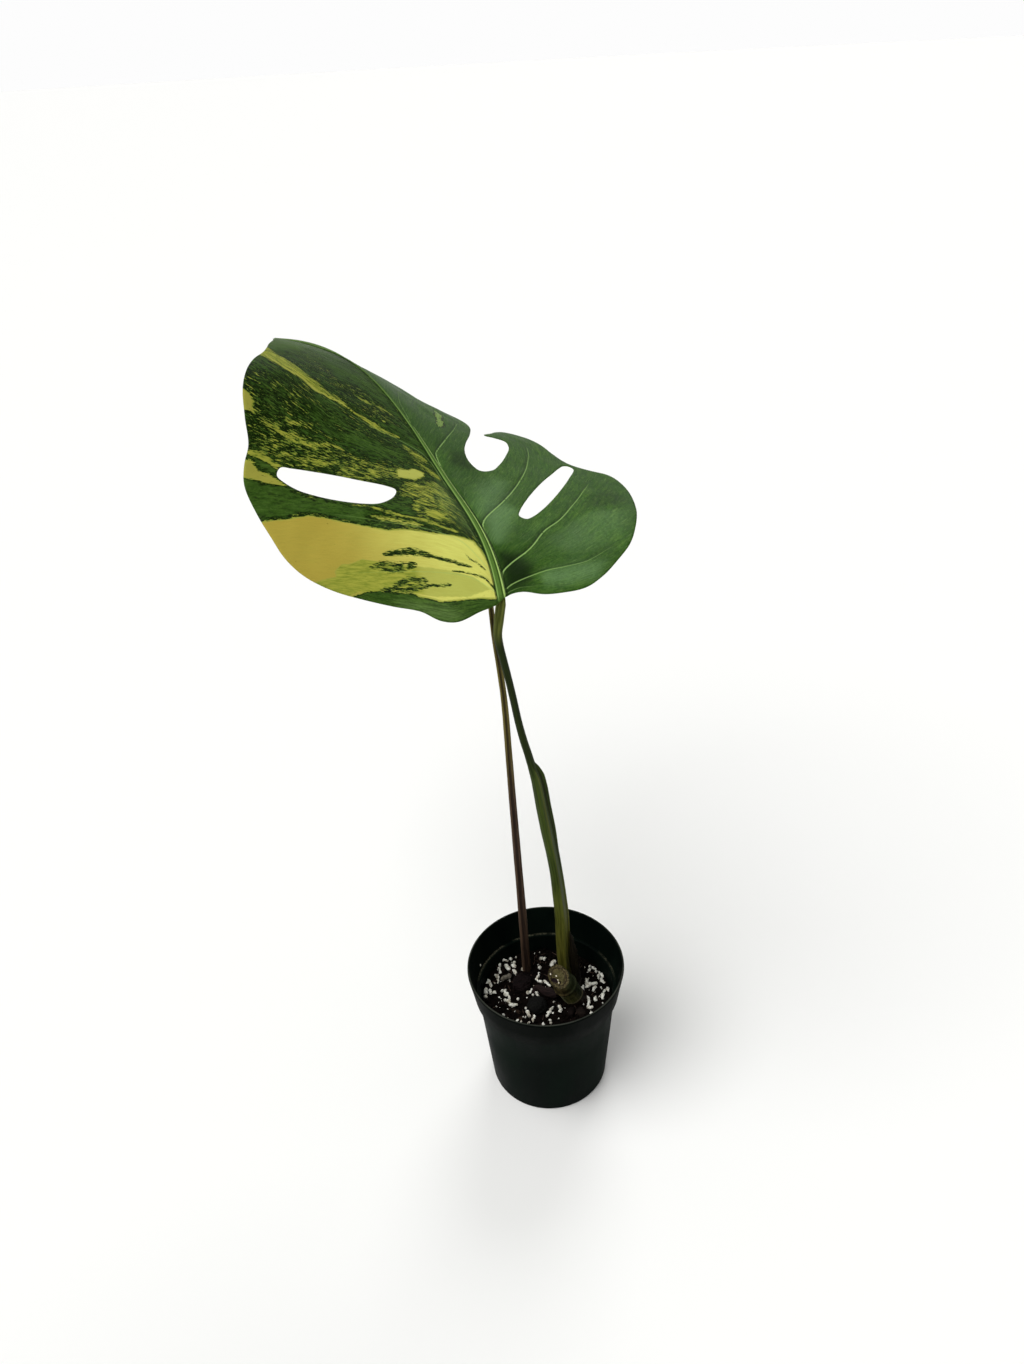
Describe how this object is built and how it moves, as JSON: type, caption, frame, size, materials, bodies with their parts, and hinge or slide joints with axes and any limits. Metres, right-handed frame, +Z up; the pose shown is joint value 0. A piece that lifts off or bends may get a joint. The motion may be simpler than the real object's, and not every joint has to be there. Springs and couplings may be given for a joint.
{
  "type": "potted variegated monstera",
  "caption": "Young variegated monstera: a large split leaf on a long grooved stalk, growing from a short stem cutting in a round nursery pot of soil.",
  "frame": {"origin": "centre of the pot's flat underside", "axes": "+Z up along the pot's axis; the picture looks along +Y, with +X to its right; the leaf reaches back (+Y) and to the left (-X)"},
  "size_m": [0.2469, 0.2953, 0.554],
  "materials": {
    "pot": "matt moulded, faint vertical mottling",
    "soil": "moist peat with white mineral grains",
    "stem": "satin green-brown skin, dry tan cut face",
    "root": "rough brown skin",
    "stalk": "satin, smooth, olive green to yellow green",
    "leaf": "satin, waxy, green with cream-yellow sectors",
    "sheath": "dry, papery, fibrous",
    "stick": "dry split wood",
    "clod": "dark crumbly lump",
    "husk": "dark purple-brown fibre",
    "bark": "rough bark"
  },
  "bodies": {
    "root": {"pot": "pot", "soil": "soil", "cutting_stem": "stem", "stem_root": "root", "leaf_stalk": "stalk", "leaf_blade": "leaf", "dry_sheath": "sheath", "support_stick": "stick", "dark_clod": "clod", "husk_clump": "husk", "bark_chip_tan": "bark", "bark_chip_brown": "bark", "twig_long": "bark", "twig_short": "bark"}
  },
  "joints": []
}
